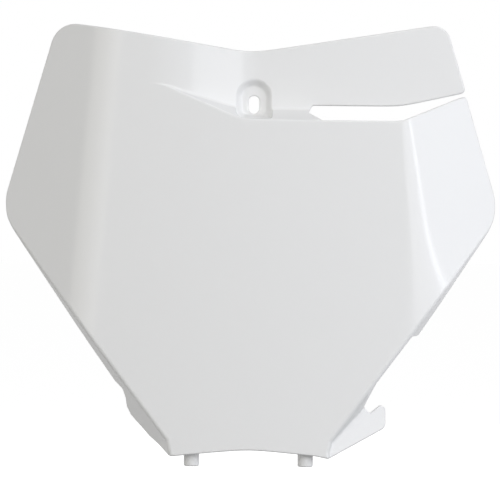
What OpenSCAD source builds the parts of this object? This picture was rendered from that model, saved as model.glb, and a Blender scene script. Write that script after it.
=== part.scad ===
// Racing number board for a motorbike front, moulded in one piece with no joints.
// Frame: X to the right of the board seen from the front, Z up, front faces -Y.
// Origin at the middle of the bolt slot, on the front of the seat it goes through.
// All sizes in millimetres, all angles in degrees.

/* [Board outline] */
// Half width between the two top corners, before they are rounded
top_half_w = 113; // [95:1:130]
// Height of the top corners over the bolt slot
top_corner_z = 47.7; // [42:0.5:60]
// How far the top edge dips in the middle, below its corners
top_dip = 17.2; // [6:0.2:22]
// Rounding of the left top corner
top_r_left = 14; // [6:0.5:22]
// Rounding of the right top corner
top_r_right = 10; // [6:0.5:22]
// Half width at the widest place, before its corner is rounded
wide_half_w = 146.2; // [132:1:160]
// Depth of the widest place below the bolt slot
wide_drop = 62.6; // [55:0.5:75]
// Rounding of the widest corners
wide_r = 27; // [15:1:40]
// Half width at the lower end of the slanted edges
foot_half_w = 47.1; // [42:0.5:56]
// Drop of the lower end of the slanted edges below the bolt slot
foot_drop = 194; // [185:1:205]
// Half width of the bottom edge
bottom_half_w = 45.1; // [40:0.5:54]
// Drop of the bottom corners below the bolt slot
bottom_drop = 203.2; // [196:0.5:214]
// How much higher the middle of the bottom edge lies than its corners
bottom_rise = 3.8; // [1:0.2:6]

/* [Panel and wings] */
// Wall thickness of the whole moulding
wall = 2.2; // [1.8:0.1:2.6]
// Radius of the slight crown across the panel
crown_r = 900; // [600:20:2000]
// Angle of the swept back side wings to the front plane
wing_angle = 30.5; // [20:0.5:38]
// Distance of the left wing fold from the middle at the height of the bolt slot
fold_left_w = 86.6; // [80:0.2:96]
// How far the left wing fold spreads for each millimetre downwards
fold_left_spread = 0.09; // [0.02:0.005:0.14]
// Half width of the soft zone over which the left wing fold turns
fold_left_soft = 11; // [6:0.5:14]
// Distance of the right wing fold from the middle at the height of the bolt slot
fold_right_w = 88; // [80:0.2:96]
// How far the right wing fold spreads for each millimetre downwards
fold_right_spread = 0.127; // [0.04:0.001:0.18]
// Half width of the soft zone over which the right wing fold turns
fold_right_soft = 7; // [5:0.5:12]

/* [Upper band] */
// How far the upper band lies behind the panel
band_depth = 14; // [8:0.5:18]
// Where the ramp from the left wing down to the band begins, left of the middle
ramp_start = 59; // [50:1:70]
// Where the ramp ends, right of the middle
ramp_end = 6; // [2:1:12]
// Angle between the ledge wall and the mould's opening direction
ledge_draft = 25; // [18:1:34]
// Height of the ledge edge under the bolt slot
ledge_drop = 9.4; // [8.5:0.1:12]
// Slope of the slanted left run of the ledge
ledge_slope = 0.445; // [0.3:0.01:0.6]
// Rounding of the ledge's outer edge
ledge_r = 2.8; // [2.7:0.1:4]
// Rounding in the hollow at the foot of the ledge
hollow_r = 1.2; // [0.8:0.1:2]

/* [Hose slot] */
// Where the hose slot begins, right of the middle
slot_start = 35.6; // [30:0.5:42]
// Level of the band's lower edge along the slot, below the bolt slot
slot_top_drop = 0.6; // [0:0.1:1.5]
// Where the slot turns upwards, right of the middle
slot_turn = 86.8; // [75:1:96]
// Level of the slot's open end over the bolt slot
slot_end_z = 7.9; // [5:0.1:10]
// Width of the slot at its open end
slot_end_gap = 1.2; // [0.8:0.1:3]

/* [Lower flanges] */
// Draft of the turned back flanges
flange_draft = 20; // [12:1:28]
// Radius of the fold where a flange leaves the face
flange_r = 2.8; // [2.7:0.1:4]
// Depth of the left flange just before its ear
flange_deep = 12; // [8:0.5:16]
// Depth of the right flange where it ends
flange_right_deep = 11; // [7:0.5:14]
// Depth of the short curl that edges the right side below it
curl_deep = 3; // [1:0.2:4]
// Depth of the ear at the left flange's lower end
ear_deep = 25.8; // [18:0.5:30]
// Drop of the ear's upper end below the bolt slot
ear_drop = 160; // [152:1:164]
// Drop of the right flange's lower end below the bolt slot
flange_end_drop = 132; // [112:1:142]

/* [Hook] */
// Depth of the hook plate's root behind the face
hook_root_deep = 10.7; // [7:0.5:13]
// How much the hook plate drops back for each millimetre outwards
hook_lean = 0.438; // [0.3:0.01:0.55]
// Half width over the hook's outer edge
hook_half_w = 79.4; // [74:0.2:84]
// Drop of the hook's notch below the bolt slot
notch_drop = 178.2; // [175:0.2:181]

/* [Bolt slot and pocket] */
// How far the bolt slot stands to the right of the board's middle
slot_off = 1.7; // [0:0.1:3]
// Width of the bolt slot
bolt_w = 6.2; // [5.2:0.1:8]
// Height of the bolt slot
bolt_h = 10; // [9:0.1:14]
// Depth of the bolt seat behind the panel front
seat_depth = 18.3; // [16:0.1:22]
// Radius of the pocket at the band
pocket_r = 10.8; // [10:0.1:12]
// Radius of the pocket's flat seat
seat_r = 8; // [7.2:0.1:9]

/* [Pegs] */
// Diameter of each locating peg
peg_d = 9; // [7:0.1:10]
// Half distance between the two pegs
peg_half_gap = 32.8; // [26:0.2:36]
// Drop of the peg tips below the bolt slot
peg_tip_drop = 209; // [206:0.2:220]
// Length of a peg
peg_len = 24; // [18:0.5:30]
// Length of a peg's free end, under its root
peg_free = 14; // [12:0.2:18]
// Diameter of a peg's thicker root, which stops it in its hole
peg_root_d = 10.2; // [9.4:0.1:11]
// Distance of the peg axes behind the panel front
peg_deep = 9; // [7.8:0.1:11]
// Thickness of the web that carries a peg
web_t = 3; // [2:0.1:4]

/* [Hidden] */

$fn = 48;

// Soft pick of the greater of two values
function smax(a, b, c) = 0.5 * (a + b + sqrt((a - b) * (a - b) + c * c));
function smin(a, b, c) = 0.5 * (a + b - sqrt((a - b) * (a - b) + c * c));
function mix(a, b, t) = a + (b - a) * t;
function unit(v) = v / norm(v);
function clamp(v, a, b) = min(max(v, a), b);

// Outline lines: the upper side, the slanted lower edge and the foot
top_z = top_corner_z;
side_k = (wide_half_w - top_half_w) / (top_z + wide_drop);
lower_k = (wide_half_w - foot_half_w) / (foot_drop - wide_drop);
foot_k = (foot_half_w - bottom_half_w) / (bottom_drop - foot_drop);
top_k = top_dip / (top_half_w - 6);
a_side = atan(side_k);
a_lower = atan(lower_k);
a_top = atan(top_k);

// Middle of the rounding of the widest corner
n_side = [cos(a_side), sin(a_side)];
n_low = [cos(a_lower), -sin(a_lower)];
wide_c = [wide_half_w, -wide_drop] - wide_r * (n_side + n_low) / (1 + n_side * n_low);

// Middle of the rounding of a top corner
n_top = [-sin(a_top), cos(a_top)];
function top_c(r) = [top_half_w, top_z] - r * (n_top + n_side) / (1 + n_top * n_side);
function top_r(x) = x < 0 ? top_r_left : top_r_right;

// Half width of the outline at a height, with the top corner rounded as far as its rows go
corner_share = 0.7;
function edge_x(z, sg) =
    let (r = top_r(sg), c = top_c(r))
    z > c[1] + r * sin(a_side)
        ? c[0] + sqrt(max(r * r - (z - c[1]) * (z - c[1]), r * r * 0.3))
    : z > wide_c[1] + wide_r * sin(a_side) ? wide_half_w - side_k * (z + wide_drop)
    : z > wide_c[1] - wide_r * sin(a_lower)
        ? wide_c[0] + sqrt(wide_r * wide_r - (z - wide_c[1]) * (z - wide_c[1]))
    : max(wide_half_w + lower_k * (z + wide_drop), foot_half_w + foot_k * (z + foot_drop));

// Height of the top edge, with its rounded corners and a soft dip in the middle
dip_soft = 6.6;
function top_line(x) = top_z - top_k * (top_half_w - norm([x, dip_soft]));
function top_edge(x) =
    let (r = top_r(x), c = top_c(r), ax = abs(x), xm = c[0] + corner_share * r)
    ax < c[0] - r * sin(a_top) ? top_line(ax)
    : ax < xm ? c[1] + sqrt(r * r - (ax - c[0]) * (ax - c[0]))
    : c[1] + sqrt(1 - corner_share * corner_share) * r - (ax - xm);

// Height of the bottom edge, with a soft arch in its middle
arch_soft = 11;
bottom_k = bottom_rise / (norm([bottom_half_w, arch_soft]) - arch_soft);
function bottom_edge(x) =
    bottom_rise - bottom_drop - bottom_k * (norm([min(abs(x), bottom_half_w), arch_soft]) - arch_soft);

// Depth of the panel and wings behind the front plane
function fold_x(z, sg) =
    sg < 0 ? fold_left_w - fold_left_spread * z : fold_right_w - fold_right_spread * z;
function fold_soft(sg) = sg < 0 ? fold_left_soft : fold_right_soft;
function crown(ax, lim) =
    ax < lim ? ax * ax / (2 * crown_r)
    : lim * lim / (2 * crown_r) + (ax - lim) * lim / crown_r;
function bend(t, m, s) =
    t <= -s ? 0
    : t >= s ? m * t
    : m * (t + s) * (t + s) / (4 * s);
function face_d(x, z) =
    let (ax = abs(x), f = fold_x(z, x))
    crown(ax, f) + bend(ax - f, tan(wing_angle) - f / crown_r, fold_soft(x));

// Share of the band's depth reached along the ramp, with a soft start and end
ramp_in = 28;
ramp_out = 14;
ramp_m = 1 / (ramp_start + ramp_end - (ramp_in + ramp_out) / 2);
function ramp(x) =
    let (u = x + ramp_start, v = ramp_end - x)
    u <= 0 ? 0
    : u < ramp_in ? ramp_m * u * u / (2 * ramp_in)
    : v > ramp_out ? ramp_m * (u - ramp_in / 2)
    : v > 0 ? 1 - ramp_m * v * v / (2 * ramp_out)
    : 1;
function band_d(x, z) =
    (x < 0 ? face_d(x, z) : crown(x, x)) + band_depth * ramp(x);

// Height of the ledge's edge across the board: from its start on the left, down to a knee, then level
ledge_start = 47.2;
ledge_knee = 4.9;
knee_soft = 2;
start_soft = 3;
side_x0 = edge_x(slot_end_z, 1);
lip_end_z = slot_end_z - slot_end_gap;
lip_k = (lip_end_z + ledge_drop) / (side_x0 - slot_turn);
band_k = (slot_end_z + slot_top_drop) / (side_x0 - slot_turn);
ledge_left_z = -ledge_drop + ledge_start * ledge_slope;
tip_r = 2.5;
function tip(x) =
    let (u = clamp(x - side_x0 + tip_r, 0, tip_r * 0.85))
    tip_r - sqrt(tip_r * tip_r - u * u);
function ledge_z(x) =
    x < 20
        ? smin(smax(-ledge_drop - ledge_slope * (x + ledge_knee), -ledge_drop, knee_soft),
            ledge_left_z, start_soft)
        : smax(-ledge_drop, -ledge_drop + lip_k * (x - slot_turn), 1) - tip(x);
function band_edge_z(x) =
    smax(-slot_top_drop, -slot_top_drop + band_k * (x - slot_turn), 1) + tip(x);

// Turn of the ledge wall, smaller where the ledge runs out
turn_full = 90 - ledge_draft;
rr = ledge_r + hollow_r;
function ledge_turn(d) =
    d > rr * (1 - cos(turn_full)) ? turn_full : acos(1 - max(d, 0) / rr);
function ledge_len(d, a) = max(0, d - rr * (1 - cos(a))) / max(sin(a), 0.05);

// Row counts: band, hollow, wall, lip, face
nb = 6;
nh = 2;
nw = 2;
nl = 3;
jb = nb;
jl = nb + nh + nw;
jp = jl + nl;

// Face row levels at the outline, from the ledge down to the bottom corners
function steps(a, b, n) = [for (k = [1:n]) mix(a, b, k / n)];
corner_hi = -wide_drop + wide_r * 0.5;
corner_lo = -wide_drop - wide_r * 0.43;
ear_z = -ear_drop;
ear_rise = 16;
levels = concat(
    [ledge_left_z - 2],
    steps(ledge_left_z - 2, corner_hi, 4),
    steps(corner_hi, corner_lo, 4),
    steps(corner_lo, -flange_end_drop + 0.9, 3),
    [-flange_end_drop - 1],
    steps(-flange_end_drop - 1, ear_z, 3),
    steps(ear_z, ear_z - ear_rise, 5),
    steps(ear_z - ear_rise, -foot_drop, 3),
    steps(-foot_drop, -bottom_drop, 2)
);
np = len(levels) - 1;
nj = jp + np;

// Slot's left end, slanted outwards to its middle and inwards under it
end_run = [0, -1.8, -2.5, 1, 5.7];
function slot_x(j) = slot_start + end_run[clamp(j - jb, 0, 4)];

// Height of a row at a place across the board, the slot side or the ledge side
function ledge_pt(x, j, open) =
    let (
        d = band_depth * ramp(x),
        a = open ? turn_full : ledge_turn(d),
        len = ledge_len(d, a),
        e = open ? 0 : 0.5 * (1 - a / turn_full),
        z0 = ledge_z(x) - ledge_r * tan(a / 2),
        k = jp - j,
        t1 = a * min(k, nl) / nl,
        t2 = a * (1 - max(0, k - nl - nw) / nh),
        w = clamp(k - nl, 0, nw) / nw
    )
    k <= nl ? [z0 + ledge_r * sin(t1) + k * e, ledge_r * (1 - cos(t1))]
    : k <= nl + nw
        ? [z0 + ledge_r * sin(a) + w * len * cos(a) + k * e,
           ledge_r * (1 - cos(a)) + w * len * sin(a)]
    : [z0 + ledge_r * sin(a) + len * cos(a) + hollow_r * (sin(a) - sin(t2)) + k * e,
       ledge_r * (1 - cos(a)) + len * sin(a) + hollow_r * (cos(t2) - cos(a))];
function is_open(x, j) = x > slot_x(j) + 0.01;
end_lift = 6;
function band_foot(x) =
    is_open(x, jb) ? band_edge_z(x)
    : mix(ledge_pt(x, jb, false)[0], band_edge_z(x), clamp((x - slot_start) / end_lift + 1, 0, 1));
top_fade = 0.55;
function row_z(x, j) =
    j <= jb ? mix(top_edge(x), band_foot(x), pow(j / jb, 1.15))
    : j <= jp ? ledge_pt(x, j, is_open(x, j))[0]
    : let (
        v = (j - jp) / np,
        lv = levels[j - jp],
        u = (levels[0] - lv) / (levels[0] - levels[np]),
        top = ledge_pt(x, jp, is_open(x, jp))[0]
      )
      lv + (top - levels[0]) * pow(max(0, 1 - u / top_fade), 2) + (bottom_edge(x) + bottom_drop) * u * u * u;
function field(x, z, j) =
    j <= jb ? band_d(x, z)
    : face_d(x, z) + (j < jp ? ledge_pt(x, j, is_open(x, j))[1] : 0);

// Where a row meets the outline on one side, closed in on from a first guess
function row_end(j, sg, x, n) =
    n == 0 ? x : row_end(j, sg, 0.5 * x + 0.5 * edge_x(row_z(sg * x, j), sg), n - 1);
function row_edge(j, sg) =
    j == 0 ? top_c(top_r(sg))[0] + corner_share * top_r(sg) : row_end(j, sg, top_half_w, 18);

// Depth of the turned back flange against the drop, on the left with its ear and on the right
hook_fall = 12;
left_flange = [
    [wide_drop - 2, 0],
    [ear_drop - 2, flange_deep],
    [ear_drop + 3, flange_deep * 0.79],
    [ear_drop + 7, mix(flange_deep, ear_deep, 0.2)],
    [ear_drop + 10.3, ear_deep * 0.86],
    [ear_drop + 15, ear_deep],
    [ear_drop + 28, ear_deep * 0.84],
    [foot_drop, ear_deep * 0.66],
    [bottom_drop, ear_deep * 0.1]
];
right_flange = [
    [wide_drop - 2, 0],
    [flange_end_drop - 0.8, flange_right_deep],
    [flange_end_drop + 1, curl_deep],
    [ear_drop, curl_deep],
    [ear_drop + hook_fall, hook_root_deep],
    [foot_drop, hook_root_deep * 0.3],
    [bottom_drop, hook_root_deep * 0.1]
];
function flange_at(z, sg) = lookup(-z, sg < 0 ? left_flange : right_flange);

// Column counts: flange, wing, fold, panel left, ramp, seat, slot side, and the edge columns' width
kf = 5;
kb = 3;
nwing = 3;
nfold = 5;
nleft = 2;
nramp = 8;
nseat = 5;
nslot = 4;
inset = 3.6;
i_a = kf;
i_b = i_a + nwing;
i_c = i_b + nfold;
i_d = i_c + nleft;
i_e = i_d + nramp;
i_s = i_e + nseat;
i_f = i_s + nslot;
i_g = i_f + nfold;
i_h = i_g + nwing;
ni = i_h + kf;

// How far a row's edge columns follow the outline's own normal
function edge_turn(z) = clamp((wide_r * 0.67 - wide_drop - z) / (wide_r * 0.52), 0, 1);
function edge_n(z, sg) =
    let (dx = (edge_x(z + 1, sg) - edge_x(z - 1, sg)) / 2)
    unit([1, -dx]);

// One row's ends: outline point, inward direction and inner point on each side
function row_side(j, sg) =
    let (
        x = row_edge(j, sg),
        z = row_z(sg * x, j),
        n = edge_n(z, sg),
        zi = row_z(sg * (x - inset), j),
        r = unit([inset, z - zi]),
        e = unit(mix(r, n, edge_turn(z)))
    )
    [x, z, e, [x - inset * e[0], z - inset * e[1]]];

// A point on the flange path, at a share of its length
function flange_pt(j, sg, side, k) =
    let (
        p = side[3],
        e = side[2],
        turn = edge_turn(side[1]),
        d0 = field(sg * p[0], p[1], j),
        d1 = field(sg * (p[0] - 0.5 * e[0]), p[1] - 0.5 * e[1], j),
        slope = (d0 - d1) / 0.5,
        dw = unit([sg * e[0], slope, e[1]]),
        df = [sg * e[0] * sin(flange_draft), cos(flange_draft), e[1] * sin(flange_draft)],
        th = acos(clamp(dw * df, -1, 1)),
        u = unit(df - dw * (dw * df)),
        q3 = inset * sqrt(1 + slope * slope),
        full = turn * flange_at(side[1], sg) / cos(flange_draft),
        t = flange_r * tan(th / 2),
        s0 = q3 - min(full, t),
        arc = flange_r * th * PI / 180,
        total = full > t ? q3 - t + arc + full - t : s0 + full / t * arc,
        near = min(total * kb / kf, s0 + arc),
        s = k <= kb ? near * k / kb : near + (total - near) * (k - kb) / (kf - kb),
        b = clamp(s - s0, 0, arc),
        ang = b / flange_r * 180 / PI,
        tail = max(0, s - s0 - arc)
    )
    [sg * p[0], d0, p[1]] + dw * min(s, s0) + flange_r * (sin(ang) * dw + (1 - cos(ang)) * u) + tail * df;
function rim_pt(j, sg, side, k) =
    let (
        x = mix(side[3][0], side[0], k / kf) * sg,
        z = row_z(x, j)
    )
    [x, field(x, z, j), z];

// Stations across one row, as x values at the bounds of the column groups
function stations(j, sl, sr) =
    let (
        xl = sl[3][0],
        xr = sr[3][0],
        zl = sl[1],
        zr = sr[1]
    )
    [
        -xl,
        -min(fold_x(zl, -1) + fold_left_soft, xl - 1.8),
        -min(fold_x(zl, -1) - fold_left_soft, xl - 7),
        -min(ramp_start, 0.68 * xl),
        min(ramp_end, 0.1 * xr),
        min(slot_x(j), 0.5 * xr),
        min(fold_x(zr, 1) - fold_right_soft, xr - 7),
        min(fold_x(zr, 1) + fold_right_soft, xr - 1.8),
        xr
    ];
marks = [i_a, i_b, i_c, i_d, i_e, i_s, i_f, i_g, i_h];
function seg(i, k) = i <= marks[k + 1] ? k : seg(i, k + 1);
function col_x(i, st) =
    let (k = seg(i, 0))
    mix(st[k], st[k + 1], (i - marks[k]) / (marks[k + 1] - marks[k]));

// One point of the front skin
function skin_pt(i, j, sl, sr, st) =
    i < i_a ? (edge_turn(sl[1]) > 0 ? flange_pt(j, -1, sl, i_a - i) : rim_pt(j, -1, sl, i_a - i))
    : i > i_h ? (edge_turn(sr[1]) > 0 ? flange_pt(j, 1, sr, i - i_h) : rim_pt(j, 1, sr, i - i_h))
    : let (
        x = col_x(i, st),
        fl = clamp((i_b - i) / nwing, 0, 1),
        fr = clamp((i - i_g) / nwing, 0, 1),
        dl = sl[3][1] - row_z(-sl[3][0], j),
        dr = sr[3][1] - row_z(sr[3][0], j),
        z = row_z(x, j) + fl * dl + fr * dr
    )
    [x, field(x, z, j), z];

rows = [for (j = [0:nj])
    let (sl = row_side(j, -1), sr = row_side(j, 1), st = stations(j, sl, sr))
    [for (i = [0:ni]) skin_pt(i, j, sl, sr, st)]];

// Whether a cell of the skin is there: the hose slot is left open
function kept(i, j) = !(i >= i_s && j >= jb && j < jl) && i >= 0 && j >= 0 && i < ni && j < nj;

// Nearest rows on each side of a point on the same piece of skin
function up(i, j) = i > i_s && j == jl ? j : max(j - 1, 0);
function down(i, j) = i > i_s && j == jb ? j : min(j + 1, nj);
function back_dir(i, j) =
    let (
        a = rows[j][min(i + 1, ni)] - rows[j][max(i - 1, 0)],
        b = rows[down(i, j)][i] - rows[up(i, j)][i]
    )
    unit(cross(a, b));

backs = [for (j = [0:nj]) [for (i = [0:ni])
    i > i_s && j > jb && j < jl ? rows[j][i] + [0, wall, 0] : rows[j][i] + wall * back_dir(i, j)]];

nn = (ni + 1) * (nj + 1);
function id(i, j) = j * (ni + 1) + i;
function tri(a, b, c, d) = [[a, b, c], [a, c, d]];

// The whole skin: front, back and the rims that close it
module skin() {
    pts = concat(
        [for (r = rows) for (p = r) p],
        [for (r = backs) for (p = r) p]
    );
    faces = concat(
        [for (j = [0:nj - 1]) for (i = [0:ni - 1]) if (kept(i, j))
            for (t = tri(id(i, j), id(i + 1, j), id(i + 1, j + 1), id(i, j + 1))) t],
        [for (j = [0:nj - 1]) for (i = [0:ni - 1]) if (kept(i, j))
            for (t = tri(nn + id(i, j), nn + id(i + 1, j), nn + id(i + 1, j + 1), nn + id(i, j + 1)))
                [t[2], t[1], t[0]]],
        [for (j = [0:nj - 1]) for (i = [0:ni - 1]) if (kept(i, j) && !kept(i, j - 1))
            for (t = tri(id(i + 1, j), id(i, j), nn + id(i, j), nn + id(i + 1, j))) t],
        [for (j = [0:nj - 1]) for (i = [0:ni - 1]) if (kept(i, j) && !kept(i, j + 1))
            for (t = tri(id(i, j + 1), id(i + 1, j + 1), nn + id(i + 1, j + 1), nn + id(i, j + 1))) t],
        [for (j = [0:nj - 1]) for (i = [0:ni - 1]) if (kept(i, j) && !kept(i - 1, j))
            for (t = tri(id(i, j), id(i, j + 1), nn + id(i, j + 1), nn + id(i, j))) t],
        [for (j = [0:nj - 1]) for (i = [0:ni - 1]) if (kept(i, j) && !kept(i + 1, j))
            for (t = tri(id(i + 1, j + 1), id(i + 1, j), nn + id(i + 1, j), nn + id(i + 1, j + 1))) t]
    );
    polyhedron(points = pts, faces = faces, convexity = 10);
}

// A closed outline with its corners rounded
function rounded(p, r, n) = [
    for (i = [0:len(p) - 1])
        let (
            a = p[(i + len(p) - 1) % len(p)],
            b = p[i],
            c = p[(i + 1) % len(p)],
            u = unit(a - b),
            v = unit(c - b),
            h = acos(clamp(u * v, -1, 1)) / 2,
            t = r[i] / tan(h),
            m = b + unit(u + v) * r[i] / sin(h),
            s = b + u * t,
            e = b + v * t,
            a0 = atan2(s[1] - m[1], s[0] - m[0]),
            a1 = atan2(e[1] - m[1], e[0] - m[0]),
            da = (a1 - a0 + 540) % 360 - 180
        )
        for (k = [0:r[i] > 0 ? n : 0])
            r[i] > 0 ? m + r[i] * [cos(a0 + da * k / n), sin(a0 + da * k / n)] : b
];

// Hook plate: a flat plate leaning back, with an open notch for a strap
hook_up = 0.07;
hook_o = [edge_x(-ear_drop - hook_fall, 1), -ear_drop - hook_fall];
hook_p0 = [hook_o[0] + 3.1, crown(hook_o[0], fold_right_w) + hook_root_deep, hook_o[1] - 2.4];
hook_e1 = unit([1, hook_lean, 0]);
hook_n = unit(cross([0, hook_up, 1], [1, hook_lean, 0]));
hook_e2 = cross(hook_n, hook_e1);
function hook_y(x, z) = hook_p0[1] + hook_lean * (x - hook_p0[0]) + hook_up * (z - hook_p0[2]);
function hook_uv(p) =
    let (v = [p[0], hook_y(p[0], p[1]), p[1]] - hook_p0)
    [v * hook_e1, v * hook_e2];
module hook_plate() {
    notch = -notch_drop;
    root = edge_x(notch, 1);
    reach = hook_half_w - root;
    // Outline points, each with the rounding of its corner
    out = [
        [hook_o + [0.6, -0.5], 0.6],
        [[root + reach * 0.39, notch + 3.5], reach * 0.06],
        [[root + reach * 0.54, notch], reach * 0.025],
        [[root + reach * 0.86, notch + 5], reach * 0.064],
        [[hook_half_w, notch + 3.1], reach * 0.108],
        [[hook_half_w + 0.2, notch - 8.4], reach * 0.196],
        [[bottom_half_w + 1.2, -bottom_drop - 0.9], 1.2],
        [[bottom_half_w - 1.2, -bottom_drop + 1.2], 0.6]
    ];
    multmatrix([
        [hook_e1[0], hook_e2[0], hook_n[0], hook_p0[0]],
        [hook_e1[1], hook_e2[1], hook_n[1], hook_p0[1]],
        [hook_e1[2], hook_e2[2], hook_n[2], hook_p0[2]],
        [0, 0, 0, 1]
    ])
        linear_extrude(height = wall)
            polygon(rounded([for (p = out) hook_uv(p[0])], [for (p = out) p[1]], 4));
}

// A locating peg with its web, standing down behind the bottom edge
tip_round = 1.1;
module peg(sg) {
    r = peg_d / 2;
    root = peg_root_d / 2;
    base = crown(peg_half_gap, fold_right_w) + wall / 2;
    translate([sg * peg_half_gap, peg_deep, -peg_tip_drop]) {
        rotate_extrude()
            polygon([
                [0, 0], [r - tip_round, 0], [r - tip_round * 0.36, tip_round * 0.32], [r, tip_round],
                [r, peg_free], [root, peg_free], [root, peg_len], [0, peg_len]
            ]);
        translate([-web_t / 2, base - peg_deep, peg_free])
            cube([web_t, peg_deep - base, peg_len - peg_free + web_t]);
    }
}

// Outline of the bolt pocket at a radius, round above and straight sided below
pocket_low = -ledge_drop + 1.2;
seat_low = pocket_low + 2;
pocket_zc = 4.4;
seat_zc = pocket_zc - 0.4;
corner_left = 5;
corner_right = 2;
corner_seat = 3.5;
function pocket_ring(r, zc, zlow, ql, qr) = concat(
    [for (a = [0:12:180]) [slot_off + r * cos(a), zc + r * sin(a)]],
    rounded([[slot_off - r, zc], [slot_off - r, zlow], [slot_off + r, zlow], [slot_off + r, zc]],
        [0, ql, qr, 0], 4)
);
module ring_loft(rings, ys) {
    n = len(rings[0]);
    m = len(rings) - 1;
    pts = [for (k = [0:m]) for (p = rings[k]) [p[0], ys[k], p[1]]];
    polyhedron(
        points = pts,
        faces = concat(
            [[for (i = [0:n - 1]) n - 1 - i]],
            [[for (i = [0:n - 1]) m * n + i]],
            [for (k = [0:m - 1]) for (i = [0:n - 1])
                let (a = k * n + i, b = k * n + (i + 1) % n)
                for (t = [[a, b, a + n], [a + n, b, b + n]]) t]
        ),
        convexity = 4
    );
}
module pocket_hollow() {
    ring_loft(
        [pocket_ring(pocket_r + 0.5, pocket_zc, pocket_low + 0.2, corner_left, corner_right),
         pocket_ring(pocket_r, pocket_zc, pocket_low, corner_left, corner_right),
         pocket_ring(seat_r, seat_zc, seat_low, corner_seat, corner_seat)],
        [-wall, band_depth, seat_depth]
    );
}
module pocket_shell() {
    t = wall * 0.95;
    ring_loft(
        [pocket_ring(pocket_r + t, pocket_zc, pocket_low - t, corner_left, corner_right),
         pocket_ring(pocket_r + t, pocket_zc, pocket_low - t, corner_left, corner_right),
         pocket_ring(seat_r + t, seat_zc, seat_low - t, corner_seat, corner_seat)],
        [wall * 0.65, band_depth + 0.6, seat_depth + wall]
    );
}

// Room in front of the band and the ledge, which the pocket's walls stay out of
skin_in = 0.9;
air = 40;
ledge_run = band_depth * tan(ledge_draft);
module air_prism(rise) {
    rotate([90, 0, 90])
        translate([0, 0, -air])
            linear_extrude(height = 2 * air)
                polygon([
                    [-wall * 2, -skin_in * rise], [skin_in, -skin_in * rise],
                    [band_depth + skin_in, ledge_run * rise], [band_depth + skin_in, air], [-wall * 2, air]
                ]);
}
module pocket_air() {
    edge = slot_off - pocket_r - wall;
    at_edge = band_depth * ramp(edge) + skin_in;
    intersection() {
        translate([0, 0, -ledge_drop])
            air_prism(1);
        translate([-ledge_knee, 0, -ledge_drop])
            rotate([0, atan(ledge_slope), 0])
                air_prism(cos(atan(ledge_slope)));
        translate([0, 0, -air])
            linear_extrude(height = 2 * air)
                polygon([
                    [edge - pocket_r, at_edge - pocket_r * band_depth * ramp_m], [edge, at_edge],
                    [ramp_end, band_depth + skin_in], [air, band_depth + skin_in],
                    [air, -wall * 2], [edge - pocket_r, -wall * 2]
                ]);
    }
}
module pocket_cup() {
    difference() {
        pocket_shell();
        pocket_air();
    }
}

module bolt_slot() {
    half = (bolt_h - bolt_w) / 2;
    long = 4 * wall;
    translate([slot_off, seat_depth - wall, 0])
        rotate([-90, 0, 0]) {
            translate([0, half, 0])
                cylinder(h = long, d = bolt_w);
            translate([0, -half, 0])
                cylinder(h = long, d = bolt_w);
            translate([-bolt_w / 2, -half, 0])
                cube([bolt_w, 2 * half, long]);
        }
}

module number_board() {
    color([0.93, 0.94, 0.95])
        translate([-slot_off, -seat_depth, 0])
            difference() {
                union() {
                    skin();
                    hook_plate();
                    peg(-1);
                    peg(1);
                    pocket_cup();
                }
                pocket_hollow();
                bolt_slot();
            }
}

number_board();
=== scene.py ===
"""Racing number board: looks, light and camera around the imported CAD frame.

The board is one thin moulding whose whole front can be seen from straight ahead, so its
front skin is described as a depth behind the front plane for each place (x, z) across it.
Board sizes are in millimetres and mean the same as in the CAD source. Sizes of the floor, the
lamps and the camera are in metres.
"""
import math

import bpy
import numpy as np
from mathutils import Euler, Matrix, Vector
from mathutils.geometry import delaunay_2d_cdt


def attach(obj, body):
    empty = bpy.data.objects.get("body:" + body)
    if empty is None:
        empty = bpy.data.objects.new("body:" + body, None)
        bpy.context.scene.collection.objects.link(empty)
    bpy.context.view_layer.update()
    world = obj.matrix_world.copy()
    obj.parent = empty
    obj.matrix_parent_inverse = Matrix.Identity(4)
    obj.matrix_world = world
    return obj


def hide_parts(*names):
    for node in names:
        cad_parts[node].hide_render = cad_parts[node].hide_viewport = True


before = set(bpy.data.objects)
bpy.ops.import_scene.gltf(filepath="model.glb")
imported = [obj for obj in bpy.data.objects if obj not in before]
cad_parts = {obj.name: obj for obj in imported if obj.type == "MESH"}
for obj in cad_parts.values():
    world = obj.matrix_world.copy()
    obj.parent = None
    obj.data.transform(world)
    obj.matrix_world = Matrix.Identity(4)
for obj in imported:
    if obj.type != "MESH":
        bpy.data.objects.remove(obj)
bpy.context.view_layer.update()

MM = 0.001

# Outline
TOP_HALF_W = 113.0
TOP_Z = 47.7
TOP_DIP = 17.2
TOP_R = {-1: 14.0, 1: 10.0}
WIDE_HALF_W = 146.2
WIDE_DROP = 62.6
WIDE_R = 27.0
FOOT_HALF_W = 47.1
FOOT_DROP = 194.0
BOTTOM_HALF_W = 45.1
BOTTOM_DROP = 203.2
BOTTOM_RISE = 3.8
TOP_FLAT_W = 6.0
TOP_SOFT = 43.0
BOTTOM_SOFT = 120.0

# Panel and wings; values of the two folds are given by side, -1 for left and 1 for right
WALL = 2.2
EDGE_R = 1.0
CROWN_R = 900.0
BAND_CROWN_REACH = 400.0
WING_ANGLE = math.radians(30.5)
FOLD_HALF_W = {-1: 85.8, 1: 88.0}
FOLD_SPREAD = {-1: 0.09, 1: 0.127}
FOLD_SOFT = {-1: 12.0, 1: 3.4}
FOLD_SOFTER = {-1: 0.0, 1: 0.065}
# over its lowest part the right fold grows softer and bends outwards by a share of that
FOLD_LATE = {-1: 0.0, 1: 0.004}
FOLD_LATE_DROP = 66.0
FOLD_LATE_OUT = 0.5

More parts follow.
